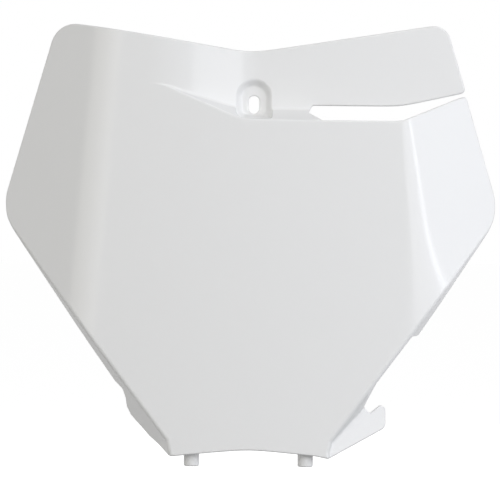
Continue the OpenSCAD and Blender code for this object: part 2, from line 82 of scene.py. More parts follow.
# Upper band
BAND_DEPTH = 14.0
RAMP_START = 59.0
RAMP_END = 6.0
RAMP_IN = 28.0
RAMP_OUT = 14.0
LEDGE_TURN = math.radians(65.0)
LEDGE_DROP = 9.4
LEDGE_SLOPE = 0.445
LEDGE_KNEE = 4.9
LEDGE_START = 47.2
LEDGE_SOFT = 2.0
LEDGE_END_SOFT = 3.0
LEDGE_R = 1.6
HOLLOW_R = 2.0

# Hose slot
SLOT_START = 35.6
SLOT_TOP_DROP = 0.6
SLOT_TURN = 86.8
SLOT_END_Z = 7.9
SLOT_END_GAP = 1.2
SLOT_END_RUN = 8.0
SLOT_TURN_SOFT = 1.0
TIP_R = 2.5
TIP_RUN = 5.0
TIP_BELOW = 6.0
TIP_INSET = 0.2

# Lower flanges
FLANGE_SLOPE = math.radians(70.0)
FLANGE_R = 2.8
FLANGE_DEEP = 12.0
FLANGE_RIGHT_DEEP = 11.0
FLANGE_RISE = 20.0  # height above the widest place from which the edge is drawn as a flange
FLANGE_W = 9.0  # width of the strip beside the outline that can turn back
FLANGE_MIN_X = 30.0  # nearer to the middle than this nothing turns back
CURL_DEEP = 3.0
EAR_DEEP = 25.8
EAR_DROP = 160.0
FLANGE_END_DROP = 132.0

# Hook
HOOK_ROOT_DEEP = 10.7
HOOK_BELOW_EAR = 12.0
HOOK_TOP_BELOW_EAR = 8.0
HOOK_OVERLAP = 1.5
HOOK_SOFT = 0.8
HOOK_LEAN = 0.39
HOOK_UP = 0.07
HOOK_HALF_W = 79.4
NOTCH_DROP = 178.2

# Bolt slot and pocket
SLOT_OFF = 1.7
BOLT_W = 6.2
BOLT_H = 10.0
SEAT_DEPTH = 18.3
POCKET_R = 10.8
POCKET_Z = 4.4
POCKET_LOW = -LEDGE_DROP + 1.0
POCKET_CORNER = {-1: 5.0, 1: 2.0}
SEAT_R = 7.1
SEAT_Z = 3.8
SEAT_LOW = POCKET_LOW + 2.6
SEAT_CORNER = 3.0
SEAT_SOFT = 0.5
POCKET_SOFT = 0.05
POCKET_MARGIN = 3.0
POCKET_ROUND = 0.5
POCKET_UPRIGHT = 30.0
POCKET_INSET = 0.35

# Pegs
PEG_D = 9.0
PEG_HALF_GAP = 32.8
PEG_TIP_DROP = 209.0
PEG_LEN = 24.0
PEG_FREE = 14.0
PEG_ROOT_D = 10.2
PEG_DEEP = 9.0
PEG_TIP_R = 1.0
PEG_ROOT_R = 0.5
WEB_T = 3.0

# Fineness of the mesh
EDGE_STEP = 1.6
LOOP_STEP = 1.1
PROBE = 0.06  # half the distance over which a slope is taken
RIM_STEPS = 5
RIM_PROBE = 0.5  # distance inside the edge at which the rim takes its direction
# grid points keep a share of their spacing from the rims, within two limits
SEAM_SHARE = 0.45
SEAM_GAP = (0.3, 0.9)
PEG_SIDES = 64
CHUNK = 20000  # points that are compared with a fold at a time

# White plastic
RIM_MATT = 0.5
RIM_DULL = 0.45
WHITE_LOW = (0.804, 0.804, 0.803, 1)
WHITE_HIGH = (0.827, 0.827, 0.826, 1)
GLOSS_LOW, GLOSS_HIGH = 0.12, 0.17
PLASTIC_IOR = 1.49

# Floor and surroundings
FLOOR_Z = -0.30
FLOOR_HALF = 40.0
FLOOR_COLOUR = (0.38, 0.38, 0.38, 1)
FLOOR_GLOW = 0.87
FILL_SIDE = (0.0, -1.0, 0.0)
FILL_BEHIND, FILL_AHEAD = 0.0, 0.645

# Lamps: name, azimuth to the right of straight ahead and height in degrees, size in metres,
# radiance and colour
BOARD_MIDDLE = Vector((0, 0, -0.08))
LAMP_DISTANCE = 2.0
LAMPS = (
    ("top_soft", 20, 28, (0.9, 0.9), 3.2, (0.99, 1.0, 1.01)),
    ("window_near", 33, 8, (0.45, 1.2), 1.75, (0.98, 0.99, 1.03)),
    ("window_far", 47, 8, (0.5, 1.2), 1.8, (0.97, 0.99, 1.04)),
    ("key_right", 67, 8, (0.9, 1.2), 2.2, (0.95, 0.985, 1.07)),
    ("strip_right", 56, 8, (0.22, 1.4), 3.7, (0.96, 0.99, 1.05)),
    ("soft_left", -40, 8, (1.6, 1.2), 1.12, (1.03, 1.0, 0.90)),
    ("soft_back", 180, 10, (1.4, 0.8), 3.6, (1.0, 1.0, 1.0)),
)

# Camera
CAMERA_DISTANCE = 1.8
PIXEL_SIZE = 0.5736 * MM
IMAGE_W = 500
SENSOR = 36.0
VIEW_Z = -81.97 * MM
ROLL = math.radians(0.45)


def smax(a, b, c):
    """The greater of two values, with a soft change from one to the other."""
    return 0.5 * (a + b + np.sqrt((a - b) ** 2 + c * c))


def smin(a, b, c):
    """The lesser of two values, with a soft change from one to the other."""
    return 0.5 * (a + b - np.sqrt((a - b) ** 2 + c * c))


# Slopes of the outline's straight runs
SIDE_K = (WIDE_HALF_W - TOP_HALF_W) / (TOP_Z + WIDE_DROP)
LOWER_K = (WIDE_HALF_W - FOOT_HALF_W) / (FOOT_DROP - WIDE_DROP)
FOOT_K = (FOOT_HALF_W - BOTTOM_HALF_W) / (BOTTOM_DROP - FOOT_DROP)
TOP_K = TOP_DIP / (TOP_HALF_W - TOP_FLAT_W)
BOTTOM_K = BOTTOM_RISE / (math.sqrt(BOTTOM_HALF_W ** 2 + BOTTOM_SOFT) - math.sqrt(BOTTOM_SOFT))
A_SIDE, A_LOWER, A_TOP = math.atan(SIDE_K), math.atan(LOWER_K), math.atan(TOP_K)
N_SIDE = np.array([math.cos(A_SIDE), math.sin(A_SIDE)])
N_LOW = np.array([math.cos(A_LOWER), -math.sin(A_LOWER)])
N_TOP = np.array([-math.sin(A_TOP), math.cos(A_TOP)])


def corner_centre(corner, r, n1, n2):
    """Middle of the arc that rounds a corner between two edges with outward normals n1 and n2."""
    return np.array(corner) - r * (n1 + n2) / (1 + n1 @ n2)


WIDE_C = corner_centre((WIDE_HALF_W, -WIDE_DROP), WIDE_R, N_SIDE, N_LOW)


def edge_x(z):
    """Half width of the outline at height z, below the top corners."""
    z = np.asarray(z, float)
    side = WIDE_HALF_W - SIDE_K * (z + WIDE_DROP)
    low = np.maximum(WIDE_HALF_W + LOWER_K * (z + WIDE_DROP),
                     FOOT_HALF_W + FOOT_K * (z + FOOT_DROP))
    arc = WIDE_C[0] + np.sqrt(np.maximum(WIDE_R ** 2 - (z - WIDE_C[1]) ** 2, 0))
    above = z > WIDE_C[1] + WIDE_R * math.sin(A_SIDE)
    below = z < WIDE_C[1] - WIDE_R * math.sin(A_LOWER)
    return np.where(above, side, np.where(below, low, arc))


def bottom_edge(x):
    """Height of the bottom edge, which rises a little towards its middle."""
    away = np.sqrt(x * x + BOTTOM_SOFT) - math.sqrt(BOTTOM_SOFT)
    return BOTTOM_RISE - BOTTOM_DROP - BOTTOM_K * away


def crown(ax, lim):
    """Depth of a round crown as far out as lim, and of its tangent beyond."""
    return np.where(ax < lim, ax * ax / (2 * CROWN_R),
                    lim * lim / (2 * CROWN_R) + (ax - lim) * lim / CROWN_R)


def face_depth(x, z):
    """Depth of the crowned panel and its two wings.

    The left fold begins and ends softly. The right one begins at a clear line.
    """
    ax = np.abs(x)
    side = np.where(x < 0, 0, 1)
    half_w, spread, soft, softer, late = (
        np.array([table[-1], table[1]])[side]
        for table in (FOLD_HALF_W, FOLD_SPREAD, FOLD_SOFT, FOLD_SOFTER, FOLD_LATE))
    bent = late * np.maximum(-z - FOLD_LATE_DROP, 0) ** 2
    fold_x = half_w - spread * z + FOLD_LATE_OUT * bent
    reach = soft + softer * np.maximum(-z, 0) + bent
    slope = math.tan(WING_ANGLE) - fold_x / CROWN_R
    past = ax - fold_x
    u = np.clip((past + reach) / (2 * reach), 0, 1)
    turn = np.where(x < 0, 2 * reach * slope * (u ** 3 - 0.5 * u ** 4), reach * slope * u ** 2)
    return crown(ax, fold_x) + turn + slope * np.maximum(past - reach, 0)


def ramp(x):
    """Share of the band's depth that is reached along the ramp from the left wing."""
    m = 1 / (RAMP_START + RAMP_END - (RAMP_IN + RAMP_OUT) / 2)
    u = x + RAMP_START
    v = RAMP_END - x
    rise = np.where(u < RAMP_IN, m * u * u / (2 * RAMP_IN), m * (u - RAMP_IN / 2))
    out = np.where(v < RAMP_OUT, 1 - m * v * v / (2 * RAMP_OUT), rise)
    return np.where(u <= 0, 0, np.where(v <= 0, 1, out))


SIDE_X0 = float(edge_x(SLOT_END_Z))
LIP_END_Z = SLOT_END_Z - SLOT_END_GAP
LIP_K = (LIP_END_Z + LEDGE_DROP) / (SIDE_X0 - SLOT_TURN)
BAND_K = (SLOT_END_Z + SLOT_TOP_DROP) / (SIDE_X0 - SLOT_TURN)
LEDGE_LEFT_Z = -LEDGE_DROP + LEDGE_START * LEDGE_SLOPE


def ledge_z(x):
    """Height of the ledge's edge, and right of the slot's start of the panel's top lip."""
    run = smax(-LEDGE_DROP - LEDGE_SLOPE * (x + LEDGE_KNEE), -LEDGE_DROP, LEDGE_SOFT)
    left = smin(run, LEDGE_LEFT_Z, LEDGE_END_SOFT)
    lip_rise = smax(0, LIP_K * (x - SLOT_TURN), SLOT_TURN_SOFT)
    return left + lip_rise


def band_edge_z(x):
    """Height of the band's lower edge above the hose slot."""
    return smax(-SLOT_TOP_DROP, -SLOT_TOP_DROP + BAND_K * (x - SLOT_TURN), SLOT_TURN_SOFT)


def lip_turn(d):
    """How far the ledge's lip and hollow turn where the whole step is d."""
    rr = LEDGE_R + HOLLOW_R
    shallow = np.arccos(np.clip(1 - np.maximum(d, 0) / rr, -1, 1))
    return np.where(d > rr * (1 - math.cos(LEDGE_TURN)), LEDGE_TURN, shallow)


def ledge_step(u, d):
    """Depth gained at a height u over the foot of the ledge's lip, where the whole step is d."""
    a = np.maximum(lip_turn(d), 1e-4)
    length = np.maximum(d - (LEDGE_R + HOLLOW_R) * (1 - np.cos(a)), 0) / np.sin(a)
    u1 = LEDGE_R * np.sin(a)
    d1 = LEDGE_R * (1 - np.cos(a))
    u2 = u1 + length * np.cos(a)
    u3 = u2 + HOLLOW_R * np.sin(a)
    lip = LEDGE_R - np.sqrt(np.maximum(LEDGE_R ** 2 - np.clip(u, 0, u1) ** 2, 0))
    wall = d1 + (u - u1) * np.tan(a)
    v = np.clip(u3 - u, 0, HOLLOW_R * np.sin(a))
    hollow = d - HOLLOW_R + np.sqrt(np.maximum(HOLLOW_R ** 2 - v ** 2, 0))
    return np.select([u <= 0, u < u1, u < u2, u < u3], [0, lip, wall, hollow], d)


def lip_foot(x, d):
    """Height at which the ledge's lip begins to turn back."""
    return ledge_z(x) - LEDGE_R * np.tan(lip_turn(d) / 2)


def upper_depth(x, z):
    """Depth of the face with the stepped band in its upper part."""
    face = face_depth(x, z)
    d = BAND_DEPTH * ramp(x)
    u = z - lip_foot(x, d)
    stepped = face + ledge_step(u, d)
    middle = 0.5 * (ledge_z(x) + band_edge_z(x))
    band = crown(np.abs(x), BAND_CROWN_REACH) + BAND_DEPTH
    lip_top = LEDGE_R * math.sin(LEDGE_TURN)
    panel = face + ledge_step(np.minimum(u, lip_top), d)
    beside = np.where(z > middle, band, panel)
    return np.where(x > SLOT_START + SLOT_END_RUN, beside, stepped)


def arch_distance(x, z, mid_z, r, low, corner):
    """Distance outside an outline that is round above and has straight sides and round
    corners below."""
    dx = np.abs(x - SLOT_OFF)
    ring = np.hypot(dx, z - mid_z) - r
    top = mid_z + corner
    mid, half = 0.5 * (top + low), 0.5 * (top - low)
    qx = dx - (r - corner)
    qz = np.abs(z - mid) - (half - corner)
    away = np.hypot(np.maximum(qx, 0), np.maximum(qz, 0))
    box = away + np.minimum(np.maximum(qx, qz), 0) - corner
    return np.minimum(ring, box)


def rounded_start(t, k):
    """A rise from nought to one that begins softly over the first share k."""
    return np.where(t < k, t * t / (2 * k), t - k / 2) / (1 - k / 2)


def with_pocket(x, z, depth):
    """Sinks the bolt pocket into a depth field.

    Its wall is a rounded flare from the band to the seat and stands upright at the ledge.
    """
    corner = np.where(x < SLOT_OFF, POCKET_CORNER[-1], POCKET_CORNER[1])
    outer = arch_distance(x, z, POCKET_Z, POCKET_R, POCKET_LOW, corner)
    seat = smax(arch_distance(x, z, SEAT_Z, SEAT_R, SEAT_LOW, SEAT_CORNER), 0, SEAT_SOFT)
    inward = np.maximum(-outer, 0)
    band = face_depth(x, z) + BAND_DEPTH * ramp(x)
    share = rounded_start(inward / (seat + inward), POCKET_ROUND)
    flare = band + (SEAT_DEPTH - band) * share
    wall = flare - POCKET_UPRIGHT * np.maximum(outer + POCKET_INSET, 0)
    return np.where(outer < POCKET_MARGIN, smax(depth, wall, POCKET_SOFT), depth)


# Depth of the flange against the drop of its place on the fold, for each side
FLANGE_TABLE = {
    -1: ((WIDE_DROP - 2, 0),
         (EAR_DROP - 2, FLANGE_DEEP),
         (EAR_DROP + 3, FLANGE_DEEP * 0.79),
         (EAR_DROP + 7, FLANGE_DEEP * 0.8 + EAR_DEEP * 0.2),
         (EAR_DROP + 10.3, EAR_DEEP * 0.86),
         (EAR_DROP + 15, EAR_DEEP),
         (EAR_DROP + 28, EAR_DEEP * 0.84),
         (FOOT_DROP, EAR_DEEP * 0.66),
         (BOTTOM_DROP, EAR_DEEP * 0.1)),
    1: ((WIDE_DROP - 2, 0),
        (FLANGE_END_DROP - 0.8, FLANGE_RIGHT_DEEP),
        (FLANGE_END_DROP + 1, CURL_DEEP),
        (EAR_DROP, CURL_DEEP),
        (EAR_DROP + HOOK_BELOW_EAR, HOOK_ROOT_DEEP),
        (FOOT_DROP, HOOK_ROOT_DEEP * 0.3),
        (BOTTOM_DROP, 1)),
}


def flange_depth(z, side):
    """Depth of the flange at a height on the fold."""
    drops, deeps = zip(*FLANGE_TABLE[side])
    return np.interp(-z, drops, deeps)


def fold_line(side, step=0.8):
    """The lower fold as points, outward normals and the face's slope across it."""
    z = np.arange(-WIDE_DROP + FLANGE_RISE + 2, -BOTTOM_DROP - 0.01, -step)
    x = edge_x(z)
    dx = (edge_x(z + 1) - edge_x(z - 1)) / 2
    n = np.stack([np.ones_like(dx), -dx], 1)
    n /= np.linalg.norm(n, axis=1, keepdims=True)
    slope = face_depth(x, z) - face_depth(x - n[:, 0], z - n[:, 1])
    n[:, 0] *= side
    return x * side, z, n, slope


FOLDS = {side: fold_line(side) for side in (-1, 1)}


def flange_profile(t, slope, deep):
    """Extra depth behind the face at a distance t outside the fold line, and the edge's own
    distance."""
    b0 = np.arctan(slope)
    turn = FLANGE_SLOPE - b0
    full = deep / math.sin(FLANGE_SLOPE)
    tangent = FLANGE_R * np.tan(turn / 2)
    reach = np.minimum(full, tangent)
    start = -reach * np.cos(b0)
    end = start + FLANGE_R * (math.sin(FLANGE_SLOPE) - np.sin(b0))
    sb = np.clip(np.sin(b0) + (t - start) / FLANGE_R, -1, math.sin(FLANGE_SLOPE))
    arc = FLANGE_R * (np.cos(b0) - np.sqrt(1 - sb ** 2)) - slope * (np.minimum(t, end) - start)
    tail = np.maximum(t - end, 0) * (math.tan(FLANGE_SLOPE) - slope)
    extra = np.where(t > start, arc + tail, 0)
    part = np.clip(full / np.maximum(tangent, 1e-6), 0, 1)
    edge = np.where(full > tangent, end + (full - tangent) * math.cos(FLANGE_SLOPE),
                    start + FLANGE_R * (np.sin(b0 + turn * part) - np.sin(b0)))
    return extra, edge


def with_flange(x, z, depth, side):
    """Turns the lower edge on one side back."""
    fx, fz, n, slope = FOLDS[side]
    low = z < -WIDE_DROP + FLANGE_RISE + 4
    near = (x * side > FLANGE_MIN_X) & low & (x * side > edge_x(z) - FLANGE_W)
    out = depth.copy()
    idx = np.nonzero(near)[0]
    for part in np.array_split(idx, max(1, len(idx) // CHUNK)):
        if not len(part):
            continue
        px, pz = x[part], z[part]
        k = np.argmin((px[:, None] - fx) ** 2 + (pz[:, None] - fz) ** 2, axis=1)
        lo, hi = np.clip(k - 1, 0, len(fz) - 1), np.clip(k + 1, 0, len(fz) - 1)
        tangent = np.stack([fx[hi] - fx[lo], fz[hi] - fz[lo]], 1)
        tangent /= np.linalg.norm(tangent, axis=1, keepdims=True)
        rel = np.stack([px - fx[k], pz - fz[k]], 1)
        along = (rel * tangent).sum(1)
        t = (rel * n[k]).sum(1)
        z_on = fz[k] + along * tangent[:, 1]
        extra, _ = flange_profile(t, slope[k], flange_depth(z_on, side))
        out[part] = depth[part] + extra
    return out


HOOK_ROOT_X = WIDE_HALF_W + LOWER_K * (WIDE_DROP - EAR_DROP - HOOK_BELOW_EAR)
HOOK_ROOT_Z = -EAR_DROP - HOOK_BELOW_EAR
HOOK_PLANE_X = HOOK_ROOT_X + 3.1
HOOK_PLANE_DEPTH = HOOK_ROOT_X ** 2 / (2 * CROWN_R) + HOOK_ROOT_DEEP
HOOK_PLANE_Z = HOOK_ROOT_Z - 2.4


def hook_plane(x, z):
    """Depth of the flat hook plate's front."""
    return HOOK_PLANE_DEPTH + HOOK_LEAN * (x - HOOK_PLANE_X) + HOOK_UP * (z - HOOK_PLANE_Z)


def front_depth(x, z):
    """Depth of the finished front skin behind the front plane, in millimetres."""
    x = np.atleast_1d(np.asarray(x, float))
    z = np.atleast_1d(np.asarray(z, float))
    depth = with_pocket(x, z, upper_depth(x, z))
    for side in (-1, 1):
        depth = with_flange(x, z, depth, side)
    out = x - edge_x(z)
    soft = np.clip((out + HOOK_OVERLAP) / 2, 0.02, 1) * HOOK_SOFT
    hooked = smin(depth, hook_plane(x, z), soft)
    low = z < -EAR_DROP - HOOK_TOP_BELOW_EAR
    return np.where((x > FLANGE_MIN_X) & (out > -HOOK_OVERLAP) & low, hooked, depth)


def front_normal(x, z, h=PROBE):
    """Unit normals of the front skin, pointing out of the face, as (x, depth, z)."""
    gx = (front_depth(x + h, z) - front_depth(x - h, z)) / (2 * h)
    gz = (front_depth(x, z + h) - front_depth(x, z - h)) / (2 * h)
    n = np.stack([gx, -np.ones_like(gx), gz], 1)
    return n / np.linalg.norm(n, axis=1, keepdims=True)


def rounded_corners(points, radii, steps=6):
    """A closed outline with round corners of the given radii."""
    out = []
    count = len(points)
    for i, r in enumerate(radii):
        a, b, c = (np.array(points[(i + k) % count], float) for k in (-1, 0, 1))
        if r <= 0:
            out.append(b)
            continue
        u = (a - b) / np.linalg.norm(a - b)
        v = (c - b) / np.linalg.norm(c - b)
        half = math.acos(max(-1, min(1, float(u @ v)))) / 2
        m = b + (u + v) / np.linalg.norm(u + v) * r / math.sin(half)
        s, e = b + u * r / math.tan(half), b + v * r / math.tan(half)
        a0 = math.atan2(s[1] - m[1], s[0] - m[0])
        a1 = math.atan2(e[1] - m[1], e[0] - m[0])
        da = (a1 - a0 + math.pi) % (2 * math.pi) - math.pi
        out += [m + r * np.array([math.cos(a0 + da * k / steps), math.sin(a0 + da * k / steps)])
                for k in range(steps + 1)]
    return out


def arc_points(centre, r, a0, a1, steps):
    """Points along an arc between two angles."""
    return [np.array(centre) + r * np.array([math.cos(a), math.sin(a)])
            for a in np.linspace(a0, a1, steps)]


def flange_edge(side, z_from, z_to):
    """Points of a flange's rear edge, seen from the front, down one side."""
    fx, fz, n, slope = FOLDS[side]
    _, edge = flange_profile(np.zeros_like(fz), slope, flange_depth(fz, side))
    keep = (fz <= z_from) & (fz >= z_to)
    return [np.array([fx[k] + n[k, 0] * edge[k], fz[k] + n[k, 1] * edge[k]])
            for k in np.nonzero(keep)[0]]


def side_line(side, z_from, z_to, step=2.0):
    """Points down or up one side of the outline between two heights."""
    count = max(2, int(abs(z_to - z_from) / step))
    return [np.array([side * float(edge_x(z)), z]) for z in np.linspace(z_from, z_to, count)]


def hook_outline():
    """Outline of the strap hook, from the root of its notch round to the bottom corner."""
    notch = -NOTCH_DROP
    low_x = BOTTOM_HALF_W - 6.0
    # each corner's place and the radius that rounds it, nought at the two open ends
    corners = (
        ((HOOK_ROOT_X + 1.0, HOOK_ROOT_Z + 1.5), 0),
        ((HOOK_HALF_W - 12.4, notch + 3.5), 1.6),
        ((HOOK_HALF_W - 9.3, notch), 1.1),
        ((HOOK_HALF_W - 2.9, notch + 5.0), 1.4),
        ((HOOK_HALF_W, notch + 3.1), 2.4),
        ((HOOK_HALF_W + 0.2, notch - 8.4), 4.2),
        ((BOTTOM_HALF_W + 1.2, -BOTTOM_DROP - 0.9), 1.2),
        ((low_x, float(bottom_edge(low_x))), 0),
    )
    return rounded_corners(*zip(*corners))


def slot_outline():
    """The hose slot's edge, from the band's tip round its left end to the wing's tip."""
    xs = np.arange(SIDE_X0 - TIP_RUN, SLOT_START + SLOT_END_RUN, -1.5)
    band = [np.array([x, float(band_edge_z(x))]) for x in xs]
    lip_rise = LEDGE_R * (math.sin(LEDGE_TURN) - math.tan(LEDGE_TURN / 2))
    lip_y = float(ledge_z(np.array(SLOT_START + SLOT_END_RUN))) + lip_rise
    corners = (
        (band[-1], 0),
        ((SLOT_START, float(band_edge_z(SLOT_START))), 1.0),
        ((SLOT_START - 2.5, -4.2), 1.0),
        ((SLOT_START + 5.7, lip_y), 1.6),
        ((SLOT_START + SLOT_END_RUN + 1, lip_y), 0),
    )
    end = rounded_corners(*zip(*corners))
    lip = [np.array([x, float(ledge_z(np.array(x))) + lip_rise]) for x in xs[::-1]]
    return band[:-1] + end + lip


def wing_tip(before, z, after):
    """Points that round the corner at height z on the right side, between two neighbours."""
    corner = (float(edge_x(z)), z)
    return rounded_corners([before, corner, after], [0, TIP_R, 0])[1:-1]


def outline():
    """The board's outer edge as seen from straight ahead, clockwise from the left top corner."""
    points = []
    for side in (-1, 1):
        r = TOP_R[side]
        c = corner_centre((TOP_HALF_W, TOP_Z), r, N_TOP, N_SIDE)
        arc = arc_points(c, r, math.pi / 2 + A_TOP, A_SIDE, 12)
        if side < 0:
            points += [np.array([-p[0], p[1]]) for p in arc[::-1]]
            left_end = -(c[0] - r * math.sin(A_TOP)) + 1
        else:
            right_start = c[0] - r * math.sin(A_TOP) - 1
            for x in np.arange(left_end, right_start, EDGE_STEP):
                fall = TOP_HALF_W - math.sqrt(x * x + TOP_SOFT)
                points.append(np.array([x, TOP_Z - TOP_K * fall]))
            points += arc
    slot = slot_outline()
    side_top = points[-1][1]
    points += side_line(1, side_top - 2, SLOT_END_Z + TIP_RUN)
    points += wing_tip(points[-1], SLOT_END_Z + TIP_INSET, slot[0]) + slot
    low_z = LIP_END_Z - TIP_INSET
    below = (float(edge_x(low_z - TIP_BELOW)), low_z - TIP_BELOW)
    points += wing_tip(slot[-1], low_z, below)
    points += side_line(1, low_z - TIP_BELOW, -WIDE_DROP + FLANGE_RISE + 1)
    points += flange_edge(1, -WIDE_DROP + FLANGE_RISE, HOOK_ROOT_Z + 2)
    points += hook_outline()[1:]
    for x in np.arange(BOTTOM_HALF_W - 7.5, -BOTTOM_HALF_W + 3, -EDGE_STEP):
        points.append(np.array([x, float(bottom_edge(x))]))
    left = flange_edge(-1, -WIDE_DROP + FLANGE_RISE, -FOOT_DROP + 1)
    corner = (-BOTTOM_HALF_W - 0.6, -BOTTOM_DROP - 0.1)
    points += rounded_corners([points[-1], corner, left[-1]], [0, 1.0, 0])[1:-1]
    points += left[::-1]
    points += side_line(-1, -WIDE_DROP + FLANGE_RISE + 1, float(points[0][1]) - 2)
    return even_spacing(np.array(points), LOOP_STEP)


def even_spacing(points, step):
    """Resamples a closed outline at an even step."""
    loop = np.vstack([points, points[:1]])
    seg = np.linalg.norm(np.diff(loop, axis=0), axis=1)
    s = np.concatenate([[0], np.cumsum(seg)])
    count = int(s[-1] / step)
    t = np.linspace(0, s[-1], count, endpoint=False)
    return np.stack([np.interp(t, s, loop[:, 0]), np.interp(t, s, loop[:, 1])], 1)


def bolt_hole():
    """The upright bolt slot with round ends."""
    half = (BOLT_H - BOLT_W) / 2
    r = BOLT_W / 2
    steps = 13
    return np.array(
        arc_points((SLOT_OFF, half), r, 0, math.pi, steps)
        + arc_points((SLOT_OFF, -half), r, math.pi, 2 * math.pi, steps))


def inside(points, loop):
    """Whether each point lies inside a closed loop."""
    x, z = points[:, 0], points[:, 1]
    hit = np.zeros(len(points), bool)
    for a, b in zip(loop, np.roll(loop, -1, axis=0)):
        if a[1] == b[1]:
            continue
        cross = (a[1] > z) != (b[1] > z)
        at = (b[0] - a[0]) * (z - a[1]) / (b[1] - a[1]) + a[0]
        hit ^= cross & (x < at)
    return hit


def loop_distance(points, loop, limit=4.0):
    """Distance to the nearest edge of a loop, as far as the limit."""
    out = np.full(len(points), limit)
    for a, b in zip(loop, np.roll(loop, -1, axis=0)):
        lo, hi = np.minimum(a, b) - limit, np.maximum(a, b) + limit
        k = np.nonzero((points > lo).all(1) & (points < hi).all(1))[0]
        if not len(k):
            continue
        d = b - a
        t = np.clip(((points[k] - a) @ d) / (d @ d), 0, 1)
        out[k] = np.minimum(out[k], np.linalg.norm(points[k] - a - t[:, None] * d, axis=1))
    return out


def surface_samples(loops, coarse=8.0, widest=4.1, fine=0.3, tolerance=0.012):
    """Grid points inside the first loop and outside the second, denser where the skin curves.

    Cells over the widest size are always split, and smaller ones where the skin is off flat.
    """
    x0, z0 = loops[0].min(0) - 1
    x1, z1 = loops[0].max(0) + 1
    size = coarse
    gx, gz = np.meshgrid(np.arange(x0, x1 + size, size), np.arange(z0, z1 + size, size))
    cells = np.stack([gx.ravel(), gz.ravel()], 1)
    kept = []
    while len(cells):
        offs = np.array([(i, j) for i in (0, 0.5, 1) for j in (0, 0.5, 1)]) * size
        at = (cells[:, None, :] + offs).reshape(-1, 2)
        d = front_depth(at[:, 0], at[:, 1]).reshape(-1, 3, 3)
        flat = 0.25 * (d[:, 0, 0] + d[:, 0, 2] + d[:, 2, 0] + d[:, 2, 2])
        err = np.abs(d[:, 1, 1] - flat)
        for i in (0, 2):
            err = np.maximum(err, np.abs(d[:, i, 1] - 0.5 * (d[:, i, 0] + d[:, i, 2])))
            err = np.maximum(err, np.abs(d[:, 1, i] - 0.5 * (d[:, 0, i] + d[:, 2, i])))
        steep = np.hypot(d[:, 2, 1] - d[:, 0, 1], d[:, 1, 2] - d[:, 1, 0]) / size
        split = (err / np.sqrt(1 + steep ** 2) > tolerance) & (size > fine)
        split |= size > widest
        kept.append(np.column_stack([cells[~split], np.full((~split).sum(), size)]))
        c = cells[split]
        size /= 2
        cells = np.concatenate([c + np.array(o) * size for o in ((0, 0), (1, 0), (0, 1), (1, 1))])
    leaf = np.concatenate(kept)
    corners = np.concatenate(
        [leaf + np.array([i, j, 0]) * leaf[:, 2:3] for i in (0, 1) for j in (0, 1)])
    key = np.round(corners[:, :2] * 1000).astype(np.int64)
    order = np.lexsort((corners[:, 2], key[:, 1], key[:, 0]))
    key, corners = key[order], corners[order]
    first = np.ones(len(key), bool)
    first[1:] = (key[1:] != key[:-1]).any(1)
    corners = corners[first]
    at, spacing = corners[:, :2], corners[:, 2]
    near = np.minimum(loop_distance(at, loops[0]), loop_distance(at, loops[1]))
    ok = inside(at, loops[0]) & ~inside(at, loops[1])
    ok &= near > np.clip(spacing * SEAM_SHARE, *SEAM_GAP)
    return at[ok]


def to_frame(x, depth, z):
    """From the board's millimetres to the shared frame in metres."""
    return np.stack([x - SLOT_OFF, depth - SEAT_DEPTH, z], 1) * MM


def rim_rings(loop, outward_sign):
    """The rounded free edge along one loop.

    Gives rings from front to back, their normals and their share of the rim's dull look.
    """
    x, z = loop[:, 0], loop[:, 1]
    p = np.stack([x, front_depth(x, z), z], 1)
    flat = outward_sign * loop_normals(loop)
    inner = loop - flat * RIM_PROBE
    n = front_normal(inner[:, 0], inner[:, 1])
    tangent = np.roll(p, -1, axis=0) - np.roll(p, 1, axis=0)
    tangent /= np.linalg.norm(tangent, axis=1, keepdims=True)
    out = np.cross(tangent, n)
    out /= np.linalg.norm(out, axis=1, keepdims=True)
    sign = np.sign((out[:, [0, 2]] * flat).sum(1))
    out *= np.where(sign == 0, 1, sign)[:, None]
    rings, normals, shares = [], [], []
    quarter = math.pi / 2
    for way, start, end, set_back in ((1, 0, quarter, EDGE_R), (-1, quarter, 0, WALL - EDGE_R)):
        middle = p - EDGE_R * out - set_back * n
        for a in np.linspace(start, end, RIM_STEPS):
            normal = way * math.cos(a) * n + math.sin(a) * out
            rings.append(middle + EDGE_R * normal)
            normals.append(normal)
            shares.append(math.sin(a))
    return rings, normals, shares


def loop_normals(loop):
    """Normals of a clockwise or counter-clockwise loop, pointing away from what it encloses."""
    d = np.roll(loop, -1, axis=0) - np.roll(loop, 1, axis=0)
    d /= np.linalg.norm(d, axis=1, keepdims=True)
    n = np.stack([d[:, 1], -d[:, 0]], 1)
    x, z = loop[:, 0], loop[:, 1]
    area = 0.5 * np.sum(x * np.roll(z, -1) - np.roll(x, -1) * z)
    return n if area > 0 else -n


